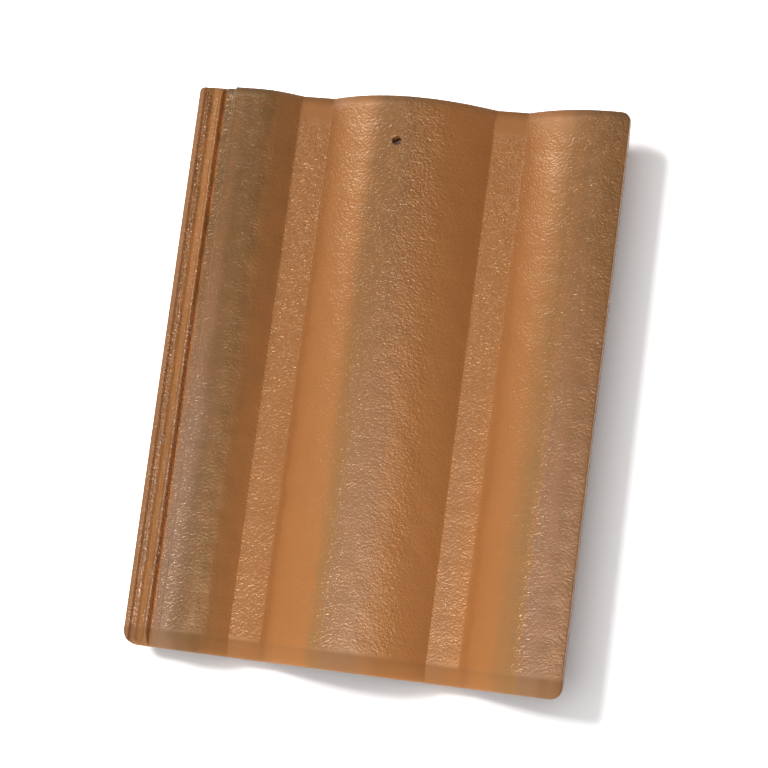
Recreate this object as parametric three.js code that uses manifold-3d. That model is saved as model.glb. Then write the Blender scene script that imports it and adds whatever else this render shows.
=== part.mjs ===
// Interlocking roof tile: two broad rolls, two narrow flat pans and a side lock, made as one piece.
//
// The tile is worked out in axes of its own, and its origin is then moved to the middle of the footprint:
//   x across, from the underlock edge (0) to the lip of the overlock
//   y along, from the nose (0), which is the low end on a roof, to the head
//   z up, with 0 at the top face of the pans
import * as THREE from 'three';
import Module from 'manifold-3d';
import { mergeVertices } from 'three/addons/utils/BufferGeometryUtils.js';

// Driving dimensions in millimetres.
const tileLength = 420; // nose to head
const rollPitch = 148; // from crest to crest; a laid tile covers two of these
const panWidth = 24; // flat floor between two rolls
const rollRise = 25; // crest above the pans
const lipReach = 16.5; // from the last crest to the overlock edge
const shellThickness = 12.5; // measured upright
const footDepth = 11; // nibs and nose lip reach this far below the shell, so the tile lies level

const rimWidth = 3.2; // the underlock from its edge inwards: rim, groove, rib, channel, rib, groove, ledge
const outerGroove = 1.3;
const outerRib = 1.9;
const channelWidth = 7.2;
const innerRib = 1.2;
const innerGroove = 2.4;
const ledgeWidth = 6.2;
const steepRun = 0.8; // sideways run of a steep wall of the underlock
const easyRun = 1.4; // of an easier one
const stepRun = 2.2; // and of the step from the ledge up to the lowered roll
const rimHeight = 4.5; // heights above the pans
const outerGrooveHeight = 1.5;
const outerRibHeight = 5;
const channelHeight = 3.2; // at its low side; it climbs to the top of the inner rib
const innerRibHeight = 6.9;
const innerGrooveHeight = 1;
const ledgeHeight = 8;
const ledgeRise = 1.2; // across the ledge
const lockUnderside = 6; // below the pans

const lapCover = 3.2; // how far the neighbour's lip runs past the step
const lapStep = 9; // from the overlock surface down to the roll that it laps
const lapGap = 1; // play under the lip
const capSlope = 0.02; // the lowered roll climbs this steeply away from the lock
const capBlend = 6; // and eases into the flank over this much height
const lockPlay = 0.5; // play at each side of a downstand rib in the inner groove
const footPlay = 1; // and below every downstand rib
const downstandDraft = 1.2; // a downstand rib is this much wider at each side of its root

const noseRound = 15; // the nose rounds off over this length
const noseDrop = 6.5; // and falls by this much
const headRound = 9;
const headDrop = 4;
const edgeChamfer = 1.2; // along the two long edges
const underChamfer = 1.5; // under the nose and the head

const noseLipLength = 9; // turned-down lip along the nose
const barPlace = 24; // weather bar across the underside, behind the lip
const barLength = 7;
const barDepth = 5; // below the shell
const barDraft = 2; // sloped run of the sides of the lip and the bar
const ridgePlay = 1.2; // from the lip and the bar to the neighbour's underlock

const nibWidth = 34; // hanging nibs under the pans, at the head
const nibLength = 12;
const nibSetback = 15; // bearing face to head
const nibDraft = 3; // slope of the side that faces the head
const nibRoot = 7; // how far a nib is rooted in the shell

const holeDiameter = 6.5; // nail hole in the middle roll
const holeSetback = 34.5; // hole to head
const holeOffset = 3.5; // from the crest towards the underlock

const cornerRadii = { noseLeft: 11, noseRight: 9, headRight: 7.5, headLeft: 4.5 };

// Finish of the coated surface.
const clayColour = 0xb4753f;
const clayRoughness = 0.45;

// How finely curves are cut into flats.
const flankSteps = 13;
const lipSteps = 4;
const roundSteps = 5;
const cornerSteps = 6;
const holeSides = 24;
const weldDistance = 1e-4; // points closer than this are one

// The underlock from the edge inwards: the width of each stretch, its height where it starts and where it
// ends, the sideways run of the wall after it, and whether a downstand rib of the neighbour stands in it.
const lockStretches = [
  { width: rimWidth, from: rimHeight, to: rimHeight, wall: steepRun },
  { width: outerGroove, from: outerGrooveHeight, to: outerGrooveHeight, wall: steepRun },
  { width: outerRib, from: outerRibHeight, to: outerRibHeight, wall: easyRun },
  { width: channelWidth, from: channelHeight, to: innerRibHeight, wall: 0, holdsRib: true },
  { width: innerRib, from: innerRibHeight, to: innerRibHeight, wall: steepRun },
  { width: innerGroove, from: innerGrooveHeight, to: innerGrooveHeight, wall: easyRun, holdsRib: true },
  { width: ledgeWidth, from: ledgeHeight, to: ledgeHeight + ledgeRise, wall: stepRun },
];

function stretchStart(index) {
  return lockStretches.slice(0, index).reduce((sum, { width, wall }) => sum + width + wall, 0);
}

// What follows from them.
const ledgeStart = stretchStart(lockStretches.length - 1);
const ledgeEnd = ledgeStart + ledgeWidth;
const lockEnd = stretchStart(lockStretches.length);
const downstandWidth = innerGroove - 2 * lockPlay;
const sideLap = lockEnd + lapCover; // strip at the left that the neighbouring tile covers
const coverWidth = 2 * rollPitch;
const tileWidth = coverWidth + sideLap;
const flankRun = (rollPitch - panWidth) / 2;
const lastCrest = tileWidth - lipReach;
const middleCrest = lastCrest - rollPitch;
const hiddenCrest = middleCrest - rollPitch; // where the neighbour's last crest comes to lie
const panCentres = [hiddenCrest + rollPitch / 2, middleCrest + rollPitch / 2];
const firstPanStart = panCentres[0] - panWidth / 2;
const tall = 4 * (rollRise + shellThickness + footDepth); // clears the tile above and below

// Height of a full roll above the pans: a parabola over each crest.
function rollHeight(x) {
  const crest = [hiddenCrest, middleCrest, lastCrest].find((centre) => Math.abs(x - centre) <= flankRun);
  if (crest === undefined) return 0;
  const s = (x - crest) / flankRun;
  return rollRise * (1 - s * s);
}

const capStart = rollHeight(sideLap) - lapStep; // height of the lowered roll at the step

// The lowered roll beside the lock: a nearly level cap that eases into the flank of a full roll.
function loweredRoll(x) {
  const flank = rollHeight(x);
  const cap = capStart + capSlope * (x - lockEnd);
  const ease = Math.max(0, capBlend - Math.abs(flank - cap)) / capBlend;
  return Math.min(flank, cap) - (ease * ease * capBlend) / 4;
}

// Top face from the step to the lip.
function rolledTop(x) {
  return x < firstPanStart ? loweredRoll(x) : rollHeight(x);
}

function spread(from, to, steps) {
  return Array.from({ length: steps + 1 }, (_, i) => from + ((to - from) * i) / steps);
}

// Top outline of the underlock, up to the step that climbs to the lowered roll.
function lockOutline() {
  const points = [[0, rimHeight - edgeChamfer], [edgeChamfer, rimHeight]];
  lockStretches.forEach(({ width, from, to }, index) => {
    const start = stretchStart(index);
    if (index > 0) points.push([start, from]);
    points.push([start + width, to]);
  });
  return points;
}

// Places across the rolls and pans at which the section has a point.
function rolledPlaces() {
  return [
    ...spread(lockEnd, firstPanStart, flankSteps),
    ...spread(firstPanStart + panWidth, middleCrest, flankSteps),
    ...spread(middleCrest, middleCrest + flankRun, flankSteps).slice(1),
    ...spread(panCentres[1] + panWidth / 2, lastCrest, flankSteps),
    ...spread(lastCrest, tileWidth - edgeChamfer, lipSteps).slice(1),
  ];
}

function topOutline() {
  const rolled = rolledPlaces().map((x) => [x, rolledTop(x)]);
  return [...lockOutline(), ...rolled, [tileWidth, rollHeight(tileWidth) - edgeChamfer]];
}

// Ribs under the overlock, each standing in the neighbour's underlock, at the low side of its stretch.
function downstands() {
  return lockStretches.flatMap(({ width, from, to, holdsRib }, index) => {
    if (!holdsRib) return [];
    const left = coverWidth + stretchStart(index) + lockPlay;
    const floor = from + ((to - from) * (lockPlay + downstandWidth)) / width;
    return [{ left, right: left + downstandWidth, foot: floor + footPlay }];
  });
}

// Underside outline, left to right, without lip, bar and nibs.
function undersideOutline() {
  const shell = (x) => rolledTop(x) - shellThickness;
  const ribs = downstands();
  const lipUnderside = rollHeight(tileWidth) - lapStep + lapGap;
  const points = [[0, -lockUnderside], [ledgeStart, -lockUnderside]];
  rolledPlaces()
    .filter((x) => x < ribs[0].left - downstandDraft)
    .forEach((x) => points.push([x, shell(x)]));
  ribs.forEach(({ left, right, foot }) => {
    points.push([left - downstandDraft, shell(left - downstandDraft)]);
    points.push([left, foot], [right, foot]);
    points.push([right + downstandDraft, shell(right + downstandDraft)]);
  });
  points.push([coverWidth + ledgeEnd, lipUnderside], [tileWidth, lipUnderside]);
  return points;
}

// How far a rounded end has fallen at a distance from it: a quarter of an ellipse.
function roundingFall(distance, length, drop) {
  const s = THREE.MathUtils.clamp(1 - distance / length, 0, 1);
  return drop * (1 - Math.sqrt(1 - s * s));
}

function topFall(y) {
  return roundingFall(y, noseRound, noseDrop) + roundingFall(tileLength - y, headRound, headDrop);
}

// The end rounding is measured from the rib tops, so it leaves the grooves alone until it meets them.
function crownHeight(x, height) {
  return x < ledgeStart ? Math.max(height, innerRibHeight) : height;
}

// Depth below the shell of a ridge across the underside, with sloping sides.
function ridgeFall(y, start, length, depth) {
  const inside = Math.min(y - start, start + length - y);
  return depth * THREE.MathUtils.clamp(inside / barDraft + 1, 0, 1);
}

// The nose lip and the weather bar stop short of the lock and of the neighbour's lock.
const ridgeSpan = [sideLap, coverWidth - ridgePlay - barDraft];
const ridgeEdges = [ridgeSpan[0] - barDraft, ...ridgeSpan, ridgeSpan[1] + barDraft];

function underFall(x, y) {
  if (x < ridgeSpan[0] || x > ridgeSpan[1]) return 0;
  const lip = ridgeFall(y, 0, noseLipLength, footDepth);
  return Math.max(lip, ridgeFall(y, barPlace, barLength, barDepth));
}

function underLift(y) {
  const inset = Math.min(y, tileLength - y);
  return Math.max(0, underChamfer - inset);
}

// Distances from an end, closer together where its rounding is steep.
function rounding(length) {
  return spread(0, Math.PI / 2, roundSteps).map((turn) => length * (1 - Math.cos(turn)));
}

// Places along the tile at which the section is repeated.
function stations() {
  const barEnd = barPlace + barLength;
  const all = [
    ...rounding(noseRound),
    underChamfer,
    noseLipLength,
    noseLipLength + barDraft,
    barPlace - barDraft,
    barPlace,
    barEnd,
    barEnd + barDraft,
    tileLength - underChamfer,
    ...rounding(headRound).map((inset) => tileLength - inset),
  ];
  return [...new Set(all)].sort((a, b) => a - b);
}

// Height of an outline at x, along the straight line between its points.
function heightAt(outline, x) {
  const next = outline.findIndex(([place]) => place >= x);
  if (next <= 0) return outline[0][1];
  const [x0, z0] = outline[next - 1];
  const [x1, z1] = outline[next];
  return z0 + ((z1 - z0) * (x - x0)) / (x1 - x0);
}

// The section at one place along the tile as a closed loop: the top face left to right, the underside back.
function sectionLoop(y, places, top, underside) {
  const upper = places.map((x) => {
    const z = heightAt(top, x);
    return new THREE.Vector3(x, y, Math.min(z, crownHeight(x, z) - topFall(y)));
  });
  const lower = places.map((x) => {
    const z = heightAt(underside, x);
    return new THREE.Vector3(x, y, z - underFall(x, y) + underLift(y));
  });
  return [...upper, ...lower.reverse()];
}

// Closed mesh through equal loops. The ends are strips between a loop's first half and its second.
function loft(loops) {
  const count = loops[0].length;
  const index = [];
  for (let j = 0; j < loops.length - 1; j += 1) {
    for (let i = 0; i < count; i += 1) {
      const a = j * count + i;
      const b = j * count + ((i + 1) % count);
      index.push(a, b, b + count, a, b + count, a + count);
    }
  }
  const last = (loops.length - 1) * count;
  for (let i = 0; i < count / 2 - 1; i += 1) {
    const [a, b, c, d] = [i, i + 1, count - 2 - i, count - 1 - i];
    index.push(a, d, c, a, c, b);
    index.push(last + a, last + c, last + d, last + a, last + b, last + c);
  }
  const positions = loops.flat().flatMap((point) => point.toArray());
  const geometry = new THREE.BufferGeometry();
  geometry.setAttribute('position', new THREE.Float32BufferAttribute(positions, 3));
  geometry.setIndex(index);
  return geometry;
}

function shellGeometry() {
  const top = topOutline();
  const underside = undersideOutline();
  const outlined = [...top, ...underside].map(([x]) => x);
  const rounded = [...outlined, ...ridgeEdges].map((x) => Math.round(x / weldDistance) * weldDistance);
  const places = [...new Set(rounded)].sort((a, b) => a - b);
  return loft(stations().map((y) => sectionLoop(y, places, top, underside)));
}

// Plan of the tile with its rounded corners, as an upright block.
function planGeometry() {
  const { noseLeft, noseRight, headRight, headLeft } = cornerRadii;
  const quarter = Math.PI / 2;
  const plan = new THREE.Shape();
  plan.moveTo(noseLeft, 0);
  plan.absarc(tileWidth - noseRight, noseRight, noseRight, -quarter, 0, false);
  plan.absarc(tileWidth - headRight, tileLength - headRight, headRight, 0, quarter, false);
  plan.absarc(headLeft, tileLength - headLeft, headLeft, quarter, 2 * quarter, false);
  plan.absarc(noseLeft, noseLeft, noseLeft, 2 * quarter, 3 * quarter, false);
  const geometry = new THREE.ExtrudeGeometry(plan, {
    depth: tall,
    bevelEnabled: false,
    curveSegments: cornerSteps,
  });
  return geometry.translate(0, 0, -tall / 2);
}

// A nib: upright bearing face towards the nose, sloped back, rooted in the shell under a pan.
function nibGeometry(centre) {
  const bearing = tileLength - nibSetback;
  const foot = -shellThickness - footDepth;
  const root = -shellThickness + nibRoot;
  const side = new THREE.Shape([
    new THREE.Vector2(bearing, foot),
    new THREE.Vector2(bearing + nibLength - nibDraft, foot),
    new THREE.Vector2(bearing + nibLength, root),
    new THREE.Vector2(bearing, root),
  ]);
  const geometry = new THREE.ExtrudeGeometry(side, { depth: nibWidth, bevelEnabled: false });
  const standing = new THREE.Matrix4().makeBasis(
    new THREE.Vector3(0, 1, 0),
    new THREE.Vector3(0, 0, 1),
    new THREE.Vector3(1, 0, 0),
  );
  return geometry.applyMatrix4(standing).translate(centre - nibWidth / 2, 0, 0);
}

function holeGeometry() {
  const geometry = new THREE.CylinderGeometry(holeDiameter / 2, holeDiameter / 2, tall, holeSides);
  return geometry.rotateX(Math.PI / 2).translate(middleCrest - holeOffset, tileLength - holeSetback, 0);
}

const manifold = await Module();
manifold.setup();

function toSolid(source) {
  const bare = source.clone();
  bare.deleteAttribute('normal');
  bare.deleteAttribute('uv');
  const merged = mergeVertices(bare, weldDistance);
  return new manifold.Manifold(new manifold.Mesh({
    numProp: 3,
    vertProperties: new Float32Array(merged.attributes.position.array),
    triVerts: new Uint32Array(merged.index.array),
  }));
}

function toGeometry(solid) {
  const mesh = solid.getMesh();
  const geometry = new THREE.BufferGeometry();
  geometry.setAttribute('position', new THREE.BufferAttribute(new Float32Array(mesh.vertProperties), 3));
  geometry.setIndex(new THREE.BufferAttribute(new Uint32Array(mesh.triVerts), 1));
  return geometry;
}

function tileGeometry() {
  let solid = toSolid(shellGeometry()).intersect(toSolid(planGeometry()));
  panCentres.forEach((centre) => {
    solid = solid.add(toSolid(nibGeometry(centre)));
  });
  return toGeometry(solid.subtract(toSolid(holeGeometry())));
}

function coatedClay() {
  return new THREE.MeshStandardMaterial({
    color: clayColour,
    roughness: clayRoughness,
    metalness: 0,
    flatShading: true,
  });
}

// The origin goes to the middle of the footprint, on the level of the feet.
function roofTile() {
  const mesh = new THREE.Mesh(tileGeometry(), coatedClay());
  mesh.name = 'roof_tile';
  mesh.position.set(-tileWidth / 2, -tileLength / 2, shellThickness + footDepth);
  return mesh;
}

const tile = new THREE.Group();
tile.add(roofTile());

export default tile;
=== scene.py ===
from math import ceil, cos, pi, radians, sin
import bpy
import numpy as np
from mathutils import Matrix, Vector


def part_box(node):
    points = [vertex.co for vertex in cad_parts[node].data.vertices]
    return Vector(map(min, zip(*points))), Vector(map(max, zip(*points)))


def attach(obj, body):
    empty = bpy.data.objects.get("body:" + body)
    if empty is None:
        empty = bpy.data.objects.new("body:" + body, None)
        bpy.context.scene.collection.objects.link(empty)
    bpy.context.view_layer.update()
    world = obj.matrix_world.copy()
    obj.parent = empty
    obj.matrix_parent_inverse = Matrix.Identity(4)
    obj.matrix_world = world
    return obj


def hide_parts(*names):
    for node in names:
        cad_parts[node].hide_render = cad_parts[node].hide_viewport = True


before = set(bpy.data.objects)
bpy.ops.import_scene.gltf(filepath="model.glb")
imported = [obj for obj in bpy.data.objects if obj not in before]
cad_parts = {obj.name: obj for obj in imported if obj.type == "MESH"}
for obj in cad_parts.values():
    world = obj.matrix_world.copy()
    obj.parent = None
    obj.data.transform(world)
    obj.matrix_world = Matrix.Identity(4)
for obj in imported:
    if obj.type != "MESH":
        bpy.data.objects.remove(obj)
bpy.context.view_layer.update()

mm = 0.001

# The tile is worked out in its own millimetres: x from the underlock edge, y from the nose,
# z from the top of the pans.
tileLow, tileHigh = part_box("roof_tile")
tile = dict(
    width=(tileHigh.x - tileLow.x) / mm,
    length=(tileHigh.y - tileLow.y) / mm,
    pitch=148,          # crest to crest
    panWidth=24,
    rollRise=25,
    lipReach=16.5,      # last crest to the overlock edge
    shell=12.5,         # thickness, measured upright
    foot=11,            # nibs and nose lip below the shell
    noseRound=15, noseDrop=6.5,
    headRound=9, headDrop=4,
    edgeRound=1.2,      # all round the top
    underRound=1.5,     # all round the underside
    cornerRadii=((11, 9), (4.5, 7.5)),  # nose left and right, head left and right
    sectionBlur=0.6,    # corners of the section are rounded over this much
    blurSamples=9,
    sharpFrom=38,       # degrees; creases above this stay sharp
)

# Underlock section from the edge inwards, as (x, z): rim, groove, rib, sloping channel, rib, groove,
# ledge, step.
lock = dict(
    corners=((0, 4.5), (4.2, 4.5), (5, 2.2), (6.5, 2.2), (7.5, 5), (9.2, 5), (11.4, 3.3), (15, 3.6),
             (17.2, 6.7), (18.3, 6.7), (20.1, 2), (21.7, 2), (22.8, 8), (29, 9.2), (31, 14.2)),
    deepest=22.7,       # the end rounding is measured from the rib tops up to here
    ribTop=6.7,
    underside=-6,       # height below the channels
    sideLap=34,         # strip that the neighbouring tile covers
    lapStep=9,          # overlock surface down to the roll that it laps
    capSlope=0.02,      # the lowered roll's cap rises by this share
    capBlend=6,         # difference in height over which cap and flank join
    lapGap=1,           # play under the overlock's edge
)

# Ribs, lip and nibs on the underside.
underside = dict(
    standLeft=(305.9, 315.1), standRight=(307.3, 316.5), standFoot=(5.2, 2), standDraft=1.2,
    lipStart=324.6, lipDraft=3,     # the overlock is thinner from here to its edge
    noseLip=9, bar=(24, 31), barDepth=5, ridgeDraft=2, ridgeSpan=(34, 292.8),
    nibWidth=34, nibStart=405, nibEnd=414, nibSideDraft=1.5, nibBackDraft=1.8, nibFaceDraft=0.15,
)

# The nail hole stands in a square of the grid, which reaches block to each side of its middle and is cells
# across. Its outline swells and shrinks in lobes: how many, by what share of the radius, how far turned.
nailHole = dict(x=162, y=385.5, radius=3.25, block=6, cells=10, rings=6, rimRound=0.7,
                lobes=((2, 0.05, 0.6), (5, 0.03, 0)))

# Slight unevenness of the top.
waviness = dict(seed=7, waves=14, lengths=(12, 45), depth=0.35, edgeFade=6)

flankRun = (tile["pitch"] - tile["panWidth"]) / 2
crests = tile["width"] - tile["lipReach"] - tile["pitch"] * np.array([2, 1, 0])
panCentres = crests[1:] - tile["pitch"] / 2
firstPan = panCentres[0] - tile["panWidth"] / 2


def rollHeight(x):
    # A parabola over each crest, cut off level at the pans.
    nearest = np.abs(np.asarray(x)[..., None] - crests).min(-1)
    return tile["rollRise"] * np.clip(1 - (nearest / flankRun) ** 2, 0, None)


def loweredRoll(x):
    # The lower of the flank and a nearly level cap; a quadratic ease joins them where they cross.
    start = rollHeight(lock["sideLap"]) - lock["lapStep"]
    cap = start + lock["capSlope"] * (x - lock["corners"][-1][0])
    flank = rollHeight(x)
    ease = np.clip(1 - np.abs(flank - cap) / lock["capBlend"], 0, None)
    return np.minimum(flank, cap) - ease ** 2 * lock["capBlend"] / 4


def sharpSection(x):
    # Straight lines through the lock's corners, then the lowered roll, then the full rolls.
    lockX, lockZ = np.array(lock["corners"]).T
    rolled = np.where(x < firstPan, loweredRoll(x), rollHeight(x))
    return np.where(x < lockX[-1], np.interp(x, lockX, lockZ), rolled)


def topSection(x):
    # The sharp section averaged over a short reach to both sides.
    reach = np.linspace(-1, 1, tile["blurSamples"]) * tile["sectionBlur"]
    return sharpSection(np.clip(np.asarray(x)[..., None] + reach, 0, tile["width"])).mean(-1)


def quarterFall(distance, length, drop):
    # A quarter of an ellipse: level at a distance of length, upright at the edge, where it has fallen
    # by drop.
    s = np.clip(1 - distance / length, 0, 1)
    return drop * (1 - np.sqrt(1 - s ** 2))


def edgeDistance(x, y):
    # Distance inwards from the plan's outline, a rectangle with a rounding of its own at each corner.
    halfWidth, halfLength = tile["width"] / 2, tile["length"] / 2
    radius = np.array(tile["cornerRadii"])[(y > halfLength).astype(int), (x > halfWidth).astype(int)]
    overX = np.abs(x - halfWidth) - halfWidth + radius
    overY = np.abs(y - halfLength) - halfLength + radius
    outside = np.hypot(np.clip(overX, 0, None), np.clip(overY, 0, None))
    return radius - outside - np.clip(np.maximum(overX, overY), None, 0)


def unevenness(x, y):
    # Sum of seeded plane waves, squeezed between 0 and a depth below it.
    random = np.random.default_rng(waviness["seed"])
    total = np.zeros_like(x)
    for _ in range(waviness["waves"]):
        turn, phase = random.uniform(0, pi), random.uniform(0, 2 * pi)
        length = random.uniform(*waviness["lengths"])
        total += np.sin((x * np.cos(turn) + y * np.sin(turn)) * 2 * pi / length + phase)
    return (np.tanh(total / np.sqrt(waviness["waves"])) - 1) * waviness["depth"] / 2


def topHeight(x, y):
    # The section, lowered by the roundings of nose and head, which are measured from the rib tops
    # in the lock, by the rounding of the edge all round and by the unevenness, which fades out there.
    section = topSection(x)
    crown = np.where(x < lock["deepest"], np.maximum(section, lock["ribTop"]), section)
    ends = quarterFall(y, tile["noseRound"], tile["noseDrop"])
    ends = ends + quarterFall(tile["length"] - y, tile["headRound"], tile["headDrop"])
    toEdge = edgeDistance(x, y)
    edge = quarterFall(toEdge, tile["edgeRound"], tile["edgeRound"])
    loose = np.clip(toEdge / waviness["edgeFade"], 0, 1)
    return np.minimum(section, crown - ends) - edge + loose * unevenness(x, y)


def smoothRamp(value, start, end):
    # 0 at start, 1 at end, with a smooth step between.
    s = np.clip((value - start) / (end - start), 0, 1)
    return s * s * (3 - 2 * s)


def plateau(value, low, high, lowDraft, highDraft):
    # 1 between low and high, falling to 0 over a draft outside each.
    return smoothRamp(value, low - lowDraft, low) * smoothRamp(value, high + highDraft, high)


def underHeight(x, y):
    # The rolls less the shell, level under the lock and thinner at the overlock's edge. Nose lip, bar and
    # nibs hang below, and two ribs stand in the next tile's lock.
    shell = rollHeight(x) - tile["shell"]
    lowered = loweredRoll(x) - tile["shell"]
    lockEnd = lock["corners"][-1][0]
    lockPart = lock["underside"] + (lowered - lock["underside"]) * smoothRamp(x, lock["deepest"], lockEnd)
    height = np.where(x < firstPan, lockPart, shell)
    lipLevel = rollHeight(tile["width"]) - lock["lapStep"] + lock["lapGap"]
    lipStart = underside["lipStart"]
    height = height + (lipLevel - height) * smoothRamp(x, lipStart - underside["lipDraft"], lipStart)
    draft = underside["ridgeDraft"]
    across = plateau(x, *underside["ridgeSpan"], draft, draft)
    lip = tile["foot"] * plateau(y, -draft, underside["noseLip"], draft, draft)
    bar = underside["barDepth"] * plateau(y, *underside["bar"], draft, draft)
    along = plateau(y, underside["nibStart"], underside["nibEnd"], underside["nibFaceDraft"],
                    underside["nibBackDraft"])
    half, sideDraft = underside["nibWidth"] / 2, underside["nibSideDraft"]
    for centre in panCentres:
        side = plateau(x, centre - half, centre + half, sideDraft, sideDraft)
        nibDepth = height + tile["shell"] + tile["foot"]
        height = height - nibDepth * along * side
    height = height - np.maximum(lip, bar) * across
    draft = underside["standDraft"]
    for left, right, foot in zip(underside["standLeft"], underside["standRight"], underside["standFoot"]):
        height = height + (foot - height) * plateau(x, left, right, draft, draft)
    return height + quarterFall(edgeDistance(x, y), tile["underRound"], tile["underRound"])


def placesAlong(*stops):
    # Each stop is a place and the step kept from there to the next stop.
    parts = [np.linspace(a, b, ceil((b - a) / step) + 1)[:-1] for (a, step), (b, _) in zip(stops, stops[1:])]
    return np.append(np.concatenate(parts), stops[-1][0])


def cornerInset(x, radii):
    # How far the end of the plan lies inside its straight line: an arc at the left, one at the right.
    left, right = radii
    fromLeft = np.clip(left - x, 0, left)
    fromRight = np.clip(x - tile["width"] + right, 0, right)
    return left - np.sqrt(left ** 2 - fromLeft ** 2) + right - np.sqrt(right ** 2 - fromRight ** 2)


def planGrid(columns, rows, fade=60):
    # Columns keep their x. Rows bend round the corners at both ends and are straight from the fade on.
    x, y = np.meshgrid(columns, rows, indexing="ij")
    nose, head = tile["cornerRadii"]
    y = y + cornerInset(x, nose) * smoothRamp(y, fade, 0)
    return x, y - cornerInset(x, head) * smoothRamp(y, tile["length"] - fade, tile["length"])


def blockLines(centre):
    # The grid lines of the square of cells that the nail hole takes the place of.
    half = nailHole["block"]
    return (centre - half, 2 * half / nailHole["cells"]), (centre + half, 0)


def gridSide(columns, rows, height):
    # One side of the tile: its points, the faces outside the nail hole's square, its outer ring with
    # a place 0 to 4 on the way round, and the ring round the square. Rings run anticlockwise from above.
    x, y = planGrid(columns, rows)
    points = np.stack([x, y, height(x, y)], -1).reshape(-1, 3)
    index = np.arange(x.size).reshape(x.shape)
    corners = np.stack([index[:-1, :-1], index[1:, :-1], index[1:, 1:], index[:-1, 1:]], -1)
    half = nailHole["block"] + 0.01     # a hair over, so that the block's own lines are in it
    middleX = (columns[:-1] + columns[1:])[:, None] / 2
    middleY = (rows[:-1] + rows[1:])[None] / 2
    inBlock = (np.abs(middleX - nailHole["x"]) < half) & (np.abs(middleY - nailHole["y"]) < half)
    columnShare, rowShare = columns / tile["width"], rows / tile["length"]
    place = np.concatenate([columnShare[:-1], 1 + rowShare[:-1],
                            3 - columnShare[:0:-1], 4 - rowShare[:0:-1]])
    nearX, nearY = [np.flatnonzero(np.abs(lines - nailHole[axis]) < half)
                    for lines, axis in ((columns, "x"), (rows, "y"))]
    block = index[nearX[0]:nearX[-1] + 1, nearY[0]:nearY[-1] + 1]
    return points, corners[~inBlock], ringOf(index), place, ringOf(block)


def ringOf(index):
    # The outer points of a block of a grid, once round.
    return np.concatenate([index[:-1, 0], index[-1, :-1], index[:0:-1, -1], index[0, :0:-1]])


def zipRings(upper, upperPlace, lower, lowerPlace):
    # Triangles between two rings of different counts. Each ring's next edge joins the point that the
    # other ring has reached.
    upperEnd = np.append(upperPlace[1:], 4)
    lowerEnd = np.append(lowerPlace[1:], 4)
    lowerReached = np.searchsorted(lowerPlace, upperEnd, "left") - 1
    upperReached = (np.searchsorted(np.append(upperPlace, 4), lowerEnd, "right") - 1) % len(upper)
    fromUpper = np.stack([upper, lower[lowerReached], np.roll(upper, -1)], -1)
    fromLower = np.stack([upper[upperReached], lower, np.roll(lower, -1)], -1)
    return np.concatenate([fromUpper, fromLower])


def stripRings(outer, inner):
    # Quads between two rings of the same count, facing up where inner lies inside outer.
    return np.stack([outer, np.roll(outer, -1), np.roll(inner, -1), inner], -1)


def holeRings(points, ring, height, start):
    # Rings from the square round the nail hole in to a slightly uneven circle, whose rim is rounded over.
    centre = np.array([nailHole["x"], nailHole["y"]])
    outer = points[ring, :2] - centre
    turn = np.arctan2(outer[:, 1], outer[:, 0])
    swelling = sum(swell * np.sin(count * turn + phase) for count, swell, phase in nailHole["lobes"])
    radius = nailHole["radius"] * (1 + swelling)
    circle = np.stack([np.cos(turn), np.sin(turn)], -1) * radius[:, None]
    share = 1 - (1 - np.linspace(0, 1, nailHole["rings"] + 1)[1:, None, None]) ** 2
    flat = outer + (circle - outer) * share + centre
    gap = np.linalg.norm(flat - centre, axis=-1) - radius
    z = height(flat[..., 0], flat[..., 1])
    sign = -1 if height is topHeight else 1
    z = z + sign * quarterFall(gap, nailHole["rimRound"], nailHole["rimRound"])
    rings = start + np.arange(flat.shape[0] * flat.shape[1]).reshape(flat.shape[:2])
    faces = [stripRings(a, b) for a, b in zip([ring, *rings[:-1]], rings)]
    return np.concatenate([flat, z[..., None]], -1).reshape(-1, 3), np.concatenate(faces), rings[-1]


# Grid steps of the top, and how far the fine steps reach at creases, nose and head.
topSteps = dict(edge=0.12, lock=0.35, lowered=1.4, pan=1.6, roll=1.7, crease=0.4, ends=0.5, length=2.6,
                behindHole=1.5, creaseReach=1.5, noseReach=16, headReach=11)

# Grid steps of the underside, and where its finer strips lie.
underSteps = dict(edge=0.3, plain=5, slope=1.3, roll=4, besideHole=4.5, draft=0.5, flat=3, ridges=1,
                  stands=0.4, behindBar=7, nibFace=0.1, nibBack=0.45, head=0.8,
                  edgeReach=1.5, slopeStart=22, slopeEnd=36, ridgesStart=290, standsStart=304)


def topGrid():
    # Columns and rows of the top: fine at the edges, in the lock, at the creases of the pans and round
    # the nail hole, and wider elsewhere.
    step, edge = topSteps, tile["edgeRound"]
    creases = []
    for start in panCentres - tile["panWidth"] / 2:
        end, reach = start + tile["panWidth"], step["creaseReach"]
        creases.append(((start - reach, step["crease"]), (start + reach, step["pan"]),
                        (end - reach, step["crease"]), (end + reach, step["roll"])))
    columns = placesAlong((0, step["edge"]), (edge, step["lock"]), (lock["sideLap"], step["lowered"]),
                          *creases[0], *blockLines(nailHole["x"]))
    rest = placesAlong((columns[-1], step["roll"]), *creases[1], (tile["width"] - edge, step["edge"]),
                       (tile["width"], 0))
    rows = placesAlong((0, step["edge"]), (edge, step["ends"]), (step["noseReach"], step["length"]),
                       *blockLines(nailHole["y"]))
    head = placesAlong((rows[-1], step["behindHole"]), (tile["length"] - step["headReach"], step["ends"]),
                       (tile["length"] - edge, step["edge"]), (tile["length"], 0))
    return np.append(columns, rest[1:]), np.append(rows, head[1:])


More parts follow.
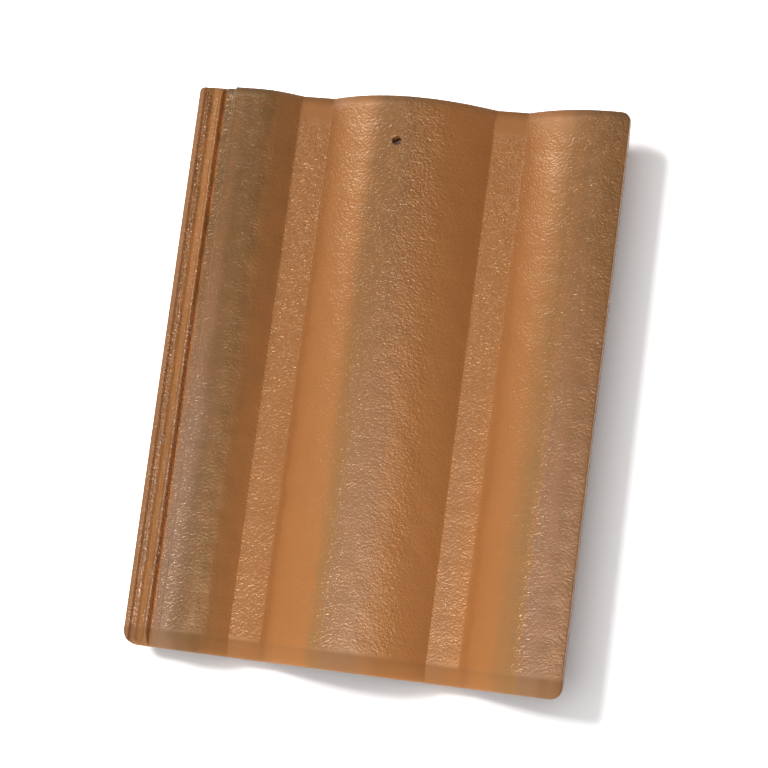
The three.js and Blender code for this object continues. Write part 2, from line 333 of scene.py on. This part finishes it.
def underGrid():
    # Columns and rows of the underside: fine only over the drafts of ribs, lip, bar and nibs.
    step, edge = underSteps, underSteps["edgeReach"]
    sideDraft, draft = underside["nibSideDraft"], underside["ridgeDraft"]
    nib = underside["nibWidth"] / 2 + sideDraft
    sides = [((centre - nib, step["draft"]), (centre - nib + sideDraft, step["roll"]),
              (centre + nib - sideDraft, step["draft"])) for centre in panCentres]
    columns = placesAlong((0, step["edge"]), (edge, step["plain"]), (step["slopeStart"], step["slope"]),
                          (step["slopeEnd"], step["roll"]), *sides[0],
                          (panCentres[0] + nib, step["besideHole"]), *blockLines(nailHole["x"]))
    rest = placesAlong((columns[-1], step["besideHole"]), *sides[1], (panCentres[1] + nib, step["roll"]),
                       (step["ridgesStart"], step["ridges"]), (step["standsStart"], step["stands"]),
                       (tile["width"], 0))
    lipEnd, (barStart, barEnd) = underside["noseLip"], underside["bar"]
    rows = placesAlong((0, step["edge"]), (edge, step["flat"]), (lipEnd, step["draft"]),
                       (lipEnd + draft, step["plain"]), (barStart - draft, step["draft"]),
                       (barStart, step["flat"]), (barEnd, step["draft"]), (barEnd + draft, step["behindBar"]),
                       *blockLines(nailHole["y"]))
    face, back = underside["nibStart"], underside["nibEnd"]
    head = placesAlong((rows[-1], step["roll"]), (face - underside["nibFaceDraft"], step["nibFace"]),
                       (face, step["flat"]), (back, step["nibBack"]),
                       (back + underside["nibBackDraft"], step["head"]),
                       (tile["length"] - edge, step["edge"]), (tile["length"], 0))
    return np.append(columns, rest[1:]), np.append(rows, head[1:])


def buildTile():
    # Top and underside as two height fields, a wall zipped between their outer rings and the nail hole's
    # wall between their inner ones. The point attribute "coat" is 1 on top and 0 below.
    top, topFaces, topRing, topPlace, topBlock = gridSide(*topGrid(), topHeight)
    under, underFaces, underRing, underPlace, underBlock = gridSide(*underGrid(), underHeight)
    topHole, topHoleFaces, topCircle = holeRings(top, topBlock, topHeight, len(top))
    topCount = len(top) + len(topHole)
    underHole, underHoleFaces, underCircle = holeRings(under, underBlock, underHeight, len(under))
    points = np.concatenate([top, topHole, under, underHole])
    quads = np.concatenate([
        topFaces, topHoleFaces, (underFaces + topCount)[:, ::-1], (underHoleFaces + topCount)[:, ::-1],
        stripRings(topCircle, underCircle + topCount),
    ])
    wall = zipRings(topRing, topPlace, underRing + topCount, underPlace)
    coat = (np.arange(len(points)) < topCount).astype(np.float32)
    points = points * mm + np.array(tileLow)
    points[:, 2] += (tile["shell"] + tile["foot"]) * mm
    loops = np.concatenate([quads.ravel(), wall.ravel()]).astype(np.int32)
    starts = np.append(np.arange(len(quads)) * 4, quads.size + np.arange(len(wall)) * 3).astype(np.int32)
    mesh = bpy.data.meshes.new("rooftile_clay")
    mesh.vertices.add(len(points))
    mesh.vertices.foreach_set("co", points.astype(np.float32).ravel())
    mesh.loops.add(len(loops))
    mesh.loops.foreach_set("vertex_index", loops)
    mesh.polygons.add(len(starts))
    mesh.polygons.foreach_set("loop_start", starts)
    mesh.attributes.new("coat", "FLOAT", "POINT").data.foreach_set("value", coat)
    mesh.update(calc_edges=True)
    mesh.validate()
    mesh.shade_smooth()
    mesh.set_sharp_from_angle(angle=radians(tile["sharpFrom"]))
    piece = bpy.data.objects.new("rooftile_clay", mesh)
    bpy.context.scene.collection.objects.link(piece)
    print("tile:", len(points), "points,", 2 * len(quads) + len(wall), "triangles")
    return piece


# Finish: clay-coloured coat with brown spray along the crests, bare clay below. Colours are linear, a
# noise is (meshes per metre, detail, roughness), and reaches from the nose and the head are in metres.
finish = dict(
    orange=(0.5, 0.2, 0.06),
    orangeDeep=(0.455, 0.175, 0.052),
    shadedOrange=(0.3, 0.11, 0.03),
    olive=(0.28, 0.165, 0.065),
    taupe=(0.28, 0.165, 0.112),
    brown=(0.19, 0.085, 0.026),
    paintedGlint=(0.95, 0.62, 0.42),
    coatRough=0.34,
    gloss=0.85,
    glossTint=(1, 0.76, 0.5),
    mottle=(30, 5, 0.6),    # orange to deeper orange
    patch=(60, 4, 0.65),    # films thinner and thicker in patches
    patchFrom=(0.25, 0.75), patchTo=(0.88, 1.12),
    stir=(45, 4, 0.6),      # the films' edges waver
    stirWidth=0.03,         # by this share of the width
    toHead=(0.1, 0.04),     # films change from this far behind the nose to this far before the head
    # bare clay, below an uneven line where the coat ends on the walls
    bare=(0.33, 0.13, 0.065), bareDark=0.7, bareRough=0.85, sand=(900, 4, 0.7),
    coatEnd=(0.15, 0.6), coatRagged=0.5,
    # painted highlights: light specks that stand in for glints on the lock's ribs
    speck=(620, 3, 0.5), speckFrom=(0.54, 0.66), speckHead=(0.035, 0.012),
    # smooth matt bands at the nose and at the head, their colour darkened by painted shade
    noseBand=(0.011, 0.017), bandShade=(0.79, 0.75, 0.63), noseRough=0.8,
    headBand=(0.009, 0.003), headShare=0.4,
    flatBand=(0.024, 0.013),    # deeper in the pans
    # two nets of raised wrinkles, a little longer across the tile than along it
    wrinkles=((290, 1, 0.5), (370, 1, 0.5)),
    wrinkleWidth=0.2,       # how far from the middle of the noise a wrinkle reaches
    wrinkleHeight=0.00029,
    wrinkleStretch=0.85,
    wrinkleNose=(0.012, 0.018), noseShare=0.12,
)

# Strengths across the tile, as (x, strength). Where there are two lists, the first holds at the nose and
# the second at the head.
strengths = dict(
    # painted shade: deeper orange in the pans and most at the foot of the flanks
    valleyShade=(((66, 0), (84, 0.35), (100, 0.5), (106, 0.6), (112, 0.15), (118, 0), (186, 0), (198, 0.2),
           (216, 0.05), (226, 0.12), (249, 0.15), (256, 0.4), (262, 0.1), (268, 0)),
          ((66, 0), (84, 0.6), (103, 0.65), (107, 0.5), (112, 0.15), (118, 0), (134, 0), (144, 0.4),
           (156, 0.2), (190, 0.2), (202, 0.4), (250, 0.5), (257, 0.35), (262, 0.1), (268, 0), (276, 0),
           (282, 0.3), (292, 0.3), (300, 0))),
    # olive at the edge of the spray
    fringe=(((140, 0), (150, 0.5), (156, 0.3), (163, 0), (176, 0), (274, 0), (286, 0.4), (292, 0.6),
             (300, 0.2), (306, 0)),
            ((140, 0), (150, 0.25), (156, 0.2), (164, 0), (280, 0), (288, 0.2), (294, 0.2), (300, 0))),
    # grey brown sprayed film along the crests; on the lock's ribs and at the nose end of the pans it is
    # painted sheen
    sprayAndSheen=(((0, 0.4), (5, 0.4), (6.5, 0.5), (7, 0.6), (9, 0.6), (10, 0), (14, 0), (15, 0.5), (18.5, 0.5),
            (19.5, 0.15), (21, 0.15), (22.5, 0.8), (32, 0.85), (46, 0.85), (54, 0.25), (60, 0), (76, 0),
            (84, 0.1), (104, 0), (150, 0), (158, 0.45), (166, 0.5), (178, 0.45), (190, 0.2), (198, 0),
            (226, 0), (231, 0.25), (252, 0), (294, 0), (302, 0.65), (316, 0.62), (330, 0.5)),
           ((0, 0.4), (3.5, 0.4), (5, 0.3), (6, 0.3), (9, 0), (20, 0), (30, 0.3), (40, 0.3), (50, 0),
            (160, 0), (170, 0.15), (180, 0), (298, 0), (306, 0.2), (320, 0.2))),
    # dark brown on the lowered roll and toward the head, and painted shade in the lock's grooves and channel
    shade=(((0, 0.4), (4, 0.2), (5, 0.3), (6.5, 0.35), (8.5, 0.3), (9.5, 0), (11, 0.5), (18.5, 0.3),
            (20, 0), (23, 0.2), (34, 0.05), (46, 0.68), (58, 0.86), (64, 0.62), (71, 0.38), (80, 0.1),
            (86, 0), (308, 0), (316, 0.3), (323, 0.15), (330, 0.5)),
           ((0, 0), (5, 0), (6, 0.9), (8.5, 0.85), (11, 0.2), (18, 0.2), (20, 0), (22, 1), (28, 1),
            (35, 0.75), (44, 1), (58, 0.9), (65, 0.62), (76, 0.45), (82, 0.1), (88, 0), (140, 0),
            (150, 0.45), (160, 0.55), (170, 0.55), (180, 0.4), (194, 0.2), (206, 0), (286, 0), (294, 0.4),
            (304, 0.65), (330, 0.75))),
    # painted highlights: light specks along the ribs of the lock, in place of glints
    specks=((5.2, 0), (6.2, 1), (8.2, 1), (9.4, 0), (15.6, 0), (16.6, 0.7), (18, 0.7), (19, 0), (21, 0),
            (22, 0.12), (24, 0.12), (25.5, 0)),
    # the smooth band at the head, nearly all in the pans
    flats=((76, 0), (82, 1), (102, 1), (106, 0.1), (140, 0.2), (150, 0.2), (156, 0), (224, 0), (229, 1),
           (250, 1), (255, 0.2), (262, 0.3), (292, 0.3), (300, 0)),
    # height of the wrinkles
    grain=(((0, 0.3), (4, 0.4), (5.5, 1), (9, 1), (10.5, 0.2), (13, 0.15), (14.5, 0.8), (18, 0.8),
            (22, 0.85), (34, 0.65), (44, 0.33), (50, 0.25), (62, 0.16), (76, 0.15), (81, 0.45),
            (96, 0.38), (103, 0.35), (106, 0.15), (145, 0.3), (155, 0.55), (170, 0.26), (182, 0.38),
            (202, 0.47), (208, 0.3), (226, 0.2), (229, 0.37), (250, 0.36), (254, 0.15), (288, 0.3),
            (298, 0.6), (312, 0.2), (328, 0.3)),
           ((0, 0.3), (4, 0.4), (5.5, 0.8), (9, 0.8), (10.5, 0.45), (18, 0.45), (22, 0.3), (30, 0.28),
            (50, 0.3), (62, 0.3), (76, 0.2), (81, 0.65), (102, 0.65), (106, 0.4), (132, 0.36),
            (145, 0.28), (156, 0.48), (170, 0.6), (186, 0.65), (196, 0.45), (205, 0.3), (226, 0.2),
            (229, 0.55), (250, 0.52), (254, 0.35), (266, 0.27), (284, 0.2), (298, 0.4), (325, 0.42))),
)


def addNode(tree, kind, **settings):
    # A new node with its own settings, such as a Math node's operation.
    node = tree.nodes.new(kind)
    for name, value in settings.items():
        setattr(node, name, value)
    return node


def fill(tree, node, **values):
    # Each socket is named, or given by its number as _0; it is linked to another node's output or set.
    for name, value in values.items():
        socket = node.inputs[name] if name in node.inputs else node.inputs[int(name[1:])]
        if isinstance(value, bpy.types.NodeSocket):
            tree.links.new(value, socket)
        elif isinstance(value, tuple) and socket.type == "RGBA":
            socket.default_value = (*value, 1)
        else:
            socket.default_value = value
    return node


def noise(tree, where, scale, detail, roughness):
    node = addNode(tree, "ShaderNodeTexNoise")
    return fill(tree, node, Vector=where, Scale=scale, Detail=detail, Roughness=roughness).outputs["Fac"]


def arithmetic(tree, operation, a, b=0.0, clamp=False):
    node = addNode(tree, "ShaderNodeMath", operation=operation, use_clamp=clamp)
    return fill(tree, node, _0=a, _1=b).outputs[0]


def product(tree, first, *others, clamp=False):
    for other in others:
        first = arithmetic(tree, "MULTIPLY", first, other, clamp)
    return first


def blendColours(tree, factor, a, b, how="MIX"):
    node = addNode(tree, "ShaderNodeMix", data_type="RGBA", blend_type=how)
    return fill(tree, node, Factor=factor, _6=a, _7=b).outputs[2]


def rampBetween(tree, value, low, high, toLow=0.0, toHigh=1.0):
    # Goes from toLow to toHigh with a smooth step while the value goes from low to high.
    node = fill(tree, addNode(tree, "ShaderNodeMapRange", interpolation_type="SMOOTHSTEP"), Value=value)
    for name, number in (("From Min", low), ("From Max", high), ("To Min", toLow), ("To Max", toHigh)):
        node.inputs[name].default_value = number
    return node.outputs["Result"]


def behindNose(tree, y, reach, start=0.0, end=1.0):
    # From start to end between two distances from the nose.
    return rampBetween(tree, y, tileLow.y + reach[0], tileLow.y + reach[1], start, end)


def beforeHead(tree, y, reach, start=0.0, end=1.0):
    # From start to end between two distances from the head.
    return rampBetween(tree, y, tileHigh.y - reach[0], tileHigh.y - reach[1], start, end)


def strengthAcross(tree, across, stops):
    # A strength that changes across the tile, through stops given in the tile's millimetres.
    node = addNode(tree, "ShaderNodeValToRGB")
    ramp = node.color_ramp
    ramp.interpolation = "EASE"
    while len(ramp.elements) < len(stops):
        ramp.elements.new(0.5)
    for element, (x, strength) in zip(ramp.elements, stops):
        element.position = x / tile["width"]
        element.color = (strength, strength, strength, 1)
    return fill(tree, node, Fac=across).outputs["Color"]


def strengthOver(tree, across, toHead, name):
    # A strength that also changes from its stops at the nose to those at the head.
    return blendColours(tree, toHead, *[strengthAcross(tree, across, stops) for stops in strengths[name]])


def newMaterial(name):
    material = bpy.data.materials.new(name)
    material.use_nodes = True
    tree = material.node_tree
    return material, tree, tree.nodes["Principled BSDF"]


def wrinkleNet(tree, where, net):
    # Narrow rounded ridges along the lines where the noise is at its middle value.
    offMiddle = arithmetic(tree, "SUBTRACT", noise(tree, where, *net), 0.5)
    return rampBetween(tree, arithmetic(tree, "ABSOLUTE", offMiddle), finish["wrinkleWidth"], 0)


def coatedClay():
    # Orange ground under four films, three of them partly painted shade and sheen, light specks of painted
    # glint, bare clay where the coat ends, and wrinkles in the bump.
    material, tree, shader = newMaterial("coated_clay")
    where = addNode(tree, "ShaderNodeTexCoord").outputs["Object"]
    axes = fill(tree, addNode(tree, "ShaderNodeSeparateXYZ"), Vector=where).outputs
    width = tileHigh.x - tileLow.x
    # share across the tile, 0 at the underlock edge and 1 at the overlock, stirred a little by noise
    across = arithmetic(tree, "MULTIPLY_ADD", axes["X"], 1 / width)
    across.node.inputs[2].default_value = -tileLow.x / width
    stir = arithmetic(tree, "SUBTRACT", noise(tree, where, *finish["stir"]), 0.5)
    across = arithmetic(tree, "ADD", across, product(tree, stir, finish["stirWidth"]))
    toHead = rampBetween(tree, axes["Y"], tileLow.y + finish["toHead"][0], tileHigh.y - finish["toHead"][1])

    # ground, films and painted shade
    mottle = noise(tree, where, *finish["mottle"])
    patch = rampBetween(tree, noise(tree, where, *finish["patch"]), *finish["patchFrom"], *finish["patchTo"])
    colour = blendColours(tree, mottle, finish["orange"], finish["orangeDeep"])
    for film, paint in (("valleyShade", "shadedOrange"), ("fringe", "olive"), ("sprayAndSheen", "taupe"), ("shade", "brown")):
        strength = product(tree, strengthOver(tree, across, toHead, film), patch, clamp=True)
        colour = blendColours(tree, strength, colour, finish[paint])

    # 0 on the smooth bands at the nose and, in part, at the head, 1 elsewhere
    nose = behindNose(tree, axes["Y"], finish["noseBand"])
    ends = product(tree, nose, beforeHead(tree, axes["Y"], finish["headBand"], 1, finish["headShare"]))
    smooth = product(tree, strengthAcross(tree, across, strengths["flats"]),
                     beforeHead(tree, axes["Y"], finish["flatBand"]))
    wrinkled = arithmetic(tree, "SUBTRACT", 1, smooth)

    # painted highlights as light specks, then the painted shade of the end bands
    paintedGlint = rampBetween(tree, noise(tree, where, *finish["speck"]), *finish["speckFrom"])
    paintedGlint = product(tree, paintedGlint, strengthAcross(tree, across, strengths["specks"]), nose,
                   beforeHead(tree, axes["Y"], finish["speckHead"], 1, 0))
    colour = blendColours(tree, paintedGlint, colour, finish["paintedGlint"])
    colour = blendColours(tree, rampBetween(tree, ends, 1, 0), colour, finish["bandShade"], "MULTIPLY")

    # the coat ends in a soft uneven line down the walls
    coat = addNode(tree, "ShaderNodeAttribute", attribute_name="coat").outputs["Fac"]
    ragged = arithmetic(tree, "ADD", coat, product(tree, stir, finish["coatRagged"]))
    covered = rampBetween(tree, ragged, *finish["coatEnd"])
    bareDark = tuple(finish["bareDark"] * part for part in finish["bare"])
    bare = blendColours(tree, noise(tree, where, *finish["sand"]), finish["bare"], bareDark)
    colour = blendColours(tree, covered, bare, colour)
    glossy = product(tree, ends, wrinkled)
    coatRough = rampBetween(tree, glossy, 0, 1, finish["noseRough"], finish["coatRough"])
    bareRough = rampBetween(tree, covered, 1, 0, 0, finish["bareRough"])
    rough = arithmetic(tree, "MAXIMUM", coatRough, bareRough)

    # wrinkles
    stretched = fill(tree, addNode(tree, "ShaderNodeVectorMath", operation="MULTIPLY"), _0=where,
                     _1=(finish["wrinkleStretch"], 1, 1)).outputs[0]
    relief = arithmetic(tree, "ADD", *[wrinkleNet(tree, stretched, net) for net in finish["wrinkles"]])
    along = behindNose(tree, axes["Y"], finish["wrinkleNose"], finish["noseShare"], 1)
    amount = product(tree, strengthOver(tree, across, toHead, "grain"), product(tree, along, wrinkled))
    bump = fill(tree, addNode(tree, "ShaderNodeBump"), Strength=1.0, Distance=finish["wrinkleHeight"],
                Height=product(tree, relief, amount))
    fill(tree, shader, Roughness=rough, Normal=bump.outputs["Normal"])
    tree.links.new(colour, shader.inputs["Base Color"])
    shader.inputs["Specular IOR Level"].default_value = finish["gloss"]
    shader.inputs["Specular Tint"].default_value = (*finish["glossTint"], 1)
    print("coated clay:", len(tree.nodes), "nodes")
    return material


roofTile = buildTile()
roofTile.data.materials.append(coatedClay())
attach(roofTile, "root")
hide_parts("roof_tile")


# Floor: pale for the light that it gives back, white for rays that show it, and glowing white far out.
ground = dict(reach=15, pale=(0.67, 0.67, 0.67), shown=(1, 1, 1), whiteFrom=0.6, whiteTo=1.2)


def paleFloor():
    # One square. Its material mixes a matt colour with a glow of strength 1 by the distance from the middle.
    mesh = bpy.data.meshes.new("pale_floor")
    r = ground["reach"]
    mesh.from_pydata([(-r, -r, 0), (r, -r, 0), (r, r, 0), (-r, r, 0)], [], [(0, 1, 2, 3)])
    floor = bpy.data.objects.new("pale_floor", mesh)
    bpy.context.scene.collection.objects.link(floor)
    material, tree, shader = newMaterial("pale_floor")
    tree.nodes.remove(shader)
    rays = addNode(tree, "ShaderNodeLightPath").outputs
    shown = arithmetic(tree, "ADD", rays["Is Camera Ray"], rays["Is Glossy Ray"], clamp=True)
    shown = arithmetic(tree, "ADD", shown, rays["Is Transmission Ray"], clamp=True)
    tint = blendColours(tree, shown, ground["pale"], ground["shown"])
    diffuse = fill(tree, addNode(tree, "ShaderNodeBsdfDiffuse"), Color=tint).outputs[0]
    glow = fill(tree, addNode(tree, "ShaderNodeEmission"), Color=(1, 1, 1), Strength=1.0).outputs[0]
    where = addNode(tree, "ShaderNodeTexCoord").outputs["Object"]
    far = fill(tree, addNode(tree, "ShaderNodeVectorMath", operation="LENGTH"), _0=where).outputs["Value"]
    white = product(tree, rampBetween(tree, far, ground["whiteFrom"], ground["whiteTo"]), shown)
    mix = fill(tree, addNode(tree, "ShaderNodeMixShader"), Fac=white, _1=diffuse, _2=glow)
    tree.links.new(mix.outputs[0], tree.nodes["Material Output"].inputs["Surface"])
    mesh.materials.append(material)
    return floor


# The first six lamps light the tile alone: one of them is matt only, and three give highlights only. The
# last two light the floor alone, so that the tile stands on a white floor with one soft shadow.
lights = (
    dict(name="front", place=(-0.55, -1.5, 2.1), size=(0.5, 0.5), watts=55, lit="tile"),
    dict(name="overhead", place=(0, -0.55, 2.05), size=(0.35, 0.35), watts=6.5, lit="tile"),
    dict(name="glint_front", place=(0.75, -0.6, 1.95), size=(0.3, 0.3), watts=6, lit="tile", matt=False),
    dict(name="side", place=(-1.6, 0.5, 0.9), size=(0.5, 0.5), watts=3, lit="tile", gloss=False),
    dict(name="glint_side", place=(-1.44, 0.96, 0.85), size=(0.3, 0.3), watts=12, lit="tile", matt=False),
    dict(name="glint_back", place=(-0.6, 1.35, 1.8), size=(0.3, 0.3), watts=8, lit="tile", matt=False),
    dict(name="floor_key", place=(-1.05, 0.65, 1.65), size=(0.9, 0.9), watts=94, lit="floor"),
    dict(name="floor_fill", place=(0, 0, 2.2), size=(3, 3), watts=48, lit="floor"),
)


def facing(place, aim, upward):
    # Rotation that looks from place to aim with upward at the top.
    back = (Vector(place) - Vector(aim)).normalized()
    right = Vector(upward).cross(back).normalized()
    return Matrix((right, back.cross(right), back)).transposed().to_quaternion()


def softbox(name, place, size, watts, lit, matt=True, gloss=True):
    # A rectangle of light that looks at the origin and lights only the part named by lit.
    data = bpy.data.lights.new(name, "AREA")
    data.shape = "RECTANGLE"
    data.size, data.size_y = size
    data.energy = watts
    lamp = bpy.data.objects.new(name, data)
    lamp.location = place
    lamp.rotation_mode = "QUATERNION"
    lamp.rotation_quaternion = facing(place, (0, 0, 0), (0, 1, 0))
    lamp.visible_camera = False
    lamp.visible_diffuse = matt
    lamp.visible_glossy = gloss
    lamp.light_linking.receiver_collection = litParts[lit]
    bpy.context.scene.collection.objects.link(lamp)


litParts = {}
for name, part in (("tile", roofTile), ("floor", paleFloor())):
    litParts[name] = bpy.data.collections.new("lit_" + name)
    litParts[name].objects.link(part)
for settings in lights:
    softbox(**settings)

room = dict(colour=(1, 1, 1), strength=0.15)
world = bpy.data.worlds.new("plain_room")
world.use_nodes = True
fill(world.node_tree, world.node_tree.nodes["Background"], Color=room["colour"], Strength=room["strength"])
bpy.context.scene.world = world
print("floor, room and", len(lights), "lamps")

# Camera: lean turns the picture so that the tile's length leans to the right of upright.
view = dict(place=(0.44502, -0.20618, 1.76798), aim=(0.0051, 0.00027, 0.0235), lean=7.65, lens=116.79)
camera = bpy.data.objects.new("camera", bpy.data.cameras.new("camera"))
camera.data.lens = view["lens"]
camera.location = view["place"]
camera.rotation_mode = "QUATERNION"
lean = radians(view["lean"])
camera.rotation_quaternion = facing(view["place"], view["aim"], (-sin(lean), cos(lean), 0))
bpy.context.scene.collection.objects.link(camera)
bpy.context.scene.camera = camera
bpy.context.scene.view_settings.view_transform = "Standard"
print("camera:", view["lens"], "mm")
